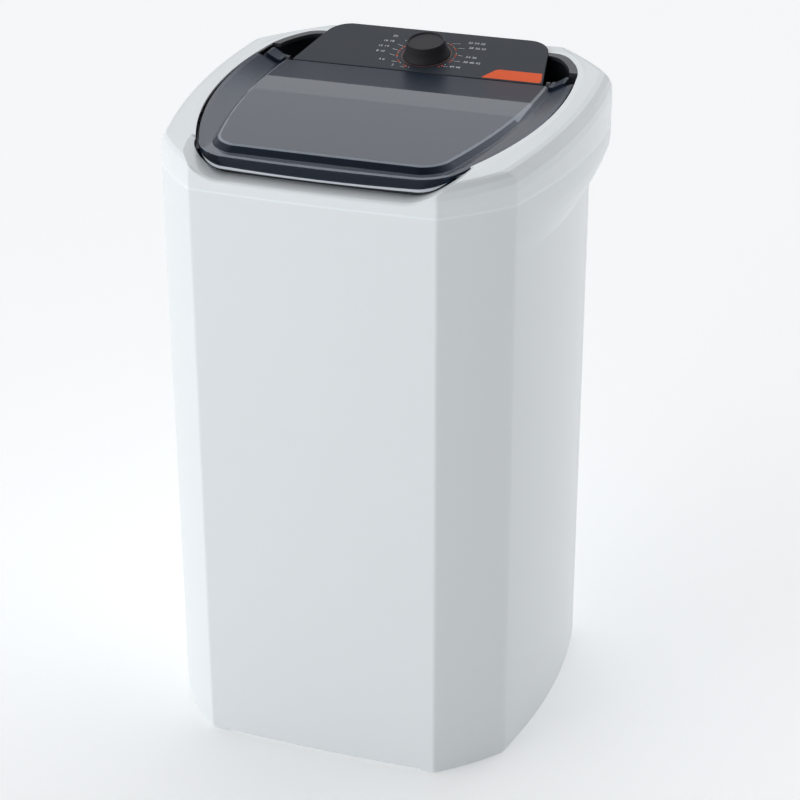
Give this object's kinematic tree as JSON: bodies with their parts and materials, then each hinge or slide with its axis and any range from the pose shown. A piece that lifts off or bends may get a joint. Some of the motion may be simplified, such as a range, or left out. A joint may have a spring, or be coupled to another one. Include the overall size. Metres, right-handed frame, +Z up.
{
  "type": "semi-automatic washing machine",
  "caption": "Tall top-loading washing machine with bowed eight-sided white cabinet, smoked lift-up lid, sloping dark control panel with a timer knob, round tub, pulsator and belt drive.",
  "frame": {"origin": "middle of the machine's outline on the floor, under its four foot pads", "axes": "+X to the machine's right as seen from the front, +Y to the rear, +Z up"},
  "size_m": [0.6088, 0.593, 1.0076],
  "materials": {
    "white_cabinet": "smooth glossy white moulding",
    "white_cover": "smooth glossy white moulding",
    "smoked_lid": "smoked glossy plastic",
    "fascia": "dark grey printed fascia, satin gloss",
    "accent": "orange inlay",
    "knob": "black moulded cap",
    "inner_frame": "fine matte texture",
    "tub": "moulded natural white",
    "pulsator": "pale blue-grey moulding",
    "filter": "moulded frame",
    "filter_mesh": "woven lint mesh",
    "rubber": "moulded black rubber",
    "steel": "plated steel",
    "cast": "die cast",
    "bronze": "sintered bearing metal",
    "bracket": "zinc coated pressed plate",
    "stator": "laminated stack, dark lacquer",
    "capacitor": "moulded can",
    "dark_plastic": "moulded black plastic",
    "pulley": "glass-filled black plastic",
    "timer": "moulded case"
  },
  "bodies": {
    "cabinet": {"cabinet": "white_cabinet", "foot_pads": "rubber", "top_cover": "white_cover", "cover_screws": "steel", "inner_frame": "inner_frame", "lid_hinge_pins": "steel", "lid_buffers": "rubber", "control_panel": "fascia", "console_screws": "steel", "accent_strip": "accent", "timer_body": "timer", "timer_nut": "steel", "tub": "tub", "bearing_housing": "cast", "bearing_housing_bolts": "steel", "upper_bush": "bronze", "lower_bush": "bronze", "shaft_seal": "rubber", "drive_belt": "rubber", "motor_stator": "stator", "motor_top_bell": "cast", "motor_bottom_bell": "cast", "motor_grommets": "rubber", "motor_bolts": "steel", "motor_bracket": "bracket", "bracket_posts": "steel", "bracket_bolts": "steel", "capacitor": "capacitor", "capacitor_clip": "bracket", "drain_elbow": "dark_plastic", "drain_outlet": "dark_plastic", "cord_gland": "rubber", "wiring_loom": "dark_plastic", "loom_clips": "dark_plastic"},
    "lid": {"lid": "smoked_lid"},
    "timer dial": {"timer_knob": "knob", "timer_shaft": "steel"},
    "wash drive": {"pulsator": "pulsator", "pulsator_screw": "steel", "pulsator_cap": "pulsator", "drive_shaft": "steel", "drive_pulley": "pulley", "pulley_nut": "steel"},
    "motor drive": {"motor_shaft": "steel", "motor_rotor": "steel", "motor_pulley": "cast"},
    "lint filter": {"lint_filter_frame": "filter", "lint_filter_mesh": "filter_mesh"}
  },
  "joints": [
    {"name": "lid_hinge", "type": "hinge", "parent": "cabinet", "child": "lid", "pos_m": [0, 0.143, 0.96195], "axis": [-1, 0, 0], "range_deg": [0, 100]},
    {"name": "timer_turn", "type": "hinge", "parent": "cabinet", "child": "timer dial", "pos_m": [0, 0.1915, 0.97799], "axis": [0, -0.2149, 0.9766], "continuous": true},
    {"name": "pulsator_spin", "type": "hinge", "parent": "cabinet", "child": "wash drive", "pos_m": [0, -0.007, 0.3], "axis": [0, 0, 1], "continuous": true},
    {"name": "motor_spin", "type": "hinge", "parent": "cabinet", "child": "motor drive", "pos_m": [0, 0.158, 0.1], "axis": [0, 0, 1], "continuous": true},
    {"name": "filter_lift", "type": "slide", "parent": "cabinet", "child": "lint filter", "axis": [0, 0, 1], "range_m": [0, 0.04]}
  ],
  "couplings": [
    {"joint": "motor_spin", "follows": "pulsator_spin", "ratio": 4.48}
  ]
}
